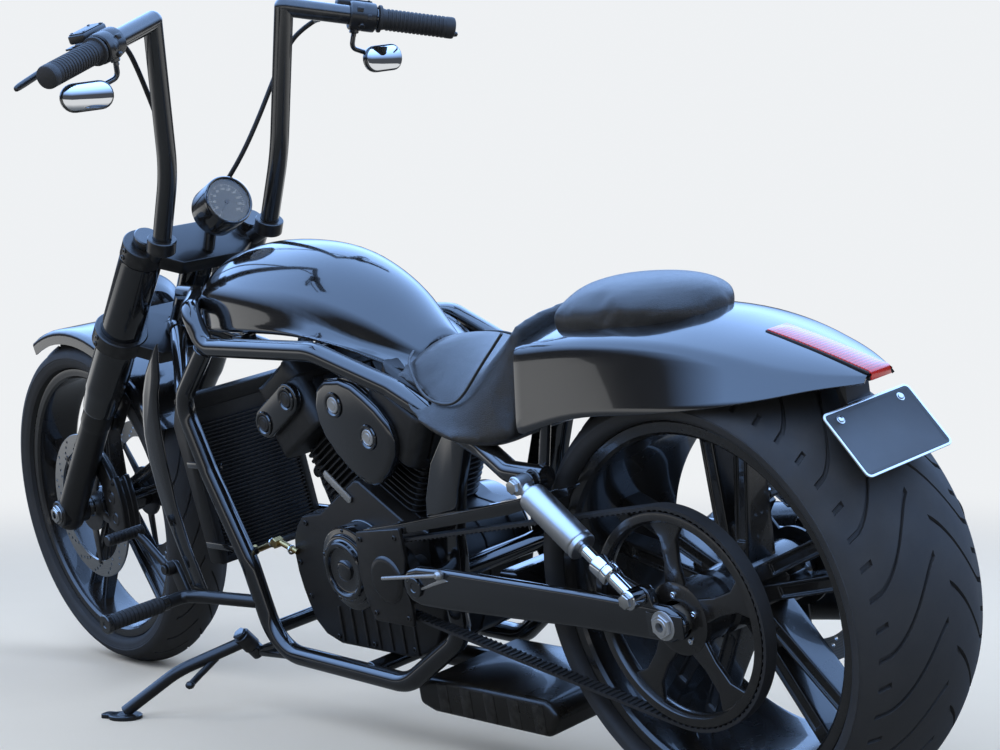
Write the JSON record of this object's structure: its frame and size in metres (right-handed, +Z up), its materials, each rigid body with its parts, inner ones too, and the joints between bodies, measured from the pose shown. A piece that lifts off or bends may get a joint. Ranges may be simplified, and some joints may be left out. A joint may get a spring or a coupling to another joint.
{
  "type": "cruiser motorcycle",
  "caption": "Low, long cruiser motorcycle with a tall handlebar, wide rear tyre, raked fork and scooped saddle, leaning on its side stand.",
  "frame": {"origin": "middle of the floor area under the parked bike: the centre of its bounding box in X and Y, on the floor", "axes": "+X is the bike's forward direction, +Y points to the rider's left, the side it leans to, +Z up"},
  "size_m": [2.4275, 0.9848, 1.2896],
  "materials": {
    "tyre": "matte",
    "wheel_black": "gloss",
    "disc_steel": "satin",
    "bright_steel": "satin",
    "frame_black": "gloss",
    "shock_alloy": "satin",
    "chrome": "polished",
    "satin_black": "satin",
    "engine_black": "satin",
    "gloss_black": "gloss",
    "belt_rubber": "matte",
    "exhaust_black": "satin",
    "rubber_black": "matte",
    "plate_dark": "satin",
    "red_lens": "gloss",
    "radiator_black": "matte",
    "seat_leather": "matte",
    "mirror": "polished",
    "glass": "polished"
  },
  "bodies": {
    "frame": {"rear_axle": "bright_steel", "swingarm": "frame_black", "shock_bodies": "shock_alloy", "shock_rods": "chrome", "main_frame": "frame_black", "crankcase": "engine_black", "cylinders": "engine_black", "cylinder_heads": "engine_black", "head_covers": "gloss_black", "alternator_cover": "gloss_black", "clutch_cover": "gloss_black", "drive_sprocket": "disc_steel", "drive_belt": "belt_rubber", "belt_guard": "satin_black", "sprocket_cover": "gloss_black", "exhaust_pipes": "exhaust_black", "mufflers": "exhaust_black", "cam_covers": "gloss_black", "rear_caliper": "satin_black", "foot_pegs": "rubber_black", "foot_control_arms": "satin_black", "foot_levers": "satin_black", "licence_plate": "plate_dark", "plate_bracket": "satin_black", "tail_lamp": "red_lens", "radiator": "radiator_black", "radiator_shrouds": "gloss_black", "tank_cover": "gloss_black", "seat": "seat_leather", "pillion_pad": "seat_leather", "tail_fender": "gloss_black"},
    "steering": {"bar_controls": "satin_black", "control_hoses": "rubber_black", "fork_covers": "gloss_black", "fork_legs": "satin_black", "front_axle": "bright_steel", "front_calipers": "satin_black", "front_fender": "gloss_black", "grips": "rubber_black", "handlebar": "gloss_black", "headlamp": "gloss_black", "headlamp_lens": "glass", "levers": "satin_black", "mirror_glasses": "mirror", "mirrors": "gloss_black", "speedometer": "gloss_black", "speedometer_glass": "glass", "triple_clamps": "satin_black"},
    "front_wheel_unit": {"front_tyre": "tyre", "front_wheel": "wheel_black", "front_brake_discs": "disc_steel"},
    "rear_wheel_unit": {"rear_tyre": "tyre", "rear_wheel": "wheel_black", "rear_brake_disc": "disc_steel", "belt_pulley": "wheel_black"},
    "side_stand": {"side_stand": "satin_black"}
  },
  "joints": [
    {"name": "steering_head", "type": "hinge", "parent": "frame", "child": "steering", "pos_m": [0.43929, -0.03245, 0.75775], "axis": [-0.5869, 0.1641, 0.7928], "range_deg": [-29, 35]},
    {"name": "front_wheel_spin", "type": "hinge", "parent": "steering", "child": "front_wheel_unit", "pos_m": [0.86907, -0.12391, 0.34085], "axis": [0.0422, 0.9841, -0.1724], "continuous": true},
    {"name": "rear_wheel_spin", "type": "hinge", "parent": "frame", "child": "rear_wheel_unit", "pos_m": [-0.87583, -0.12031, 0.33492], "axis": [-0.0002, 0.9792, -0.2028], "continuous": true},
    {"name": "side_stand_fold", "type": "hinge", "parent": "frame", "child": "side_stand", "pos_m": [0.22846, -0.00594, 0.13644], "axis": [0.0335, 0.7273, 0.6855], "range_deg": [0, 108]}
  ]
}
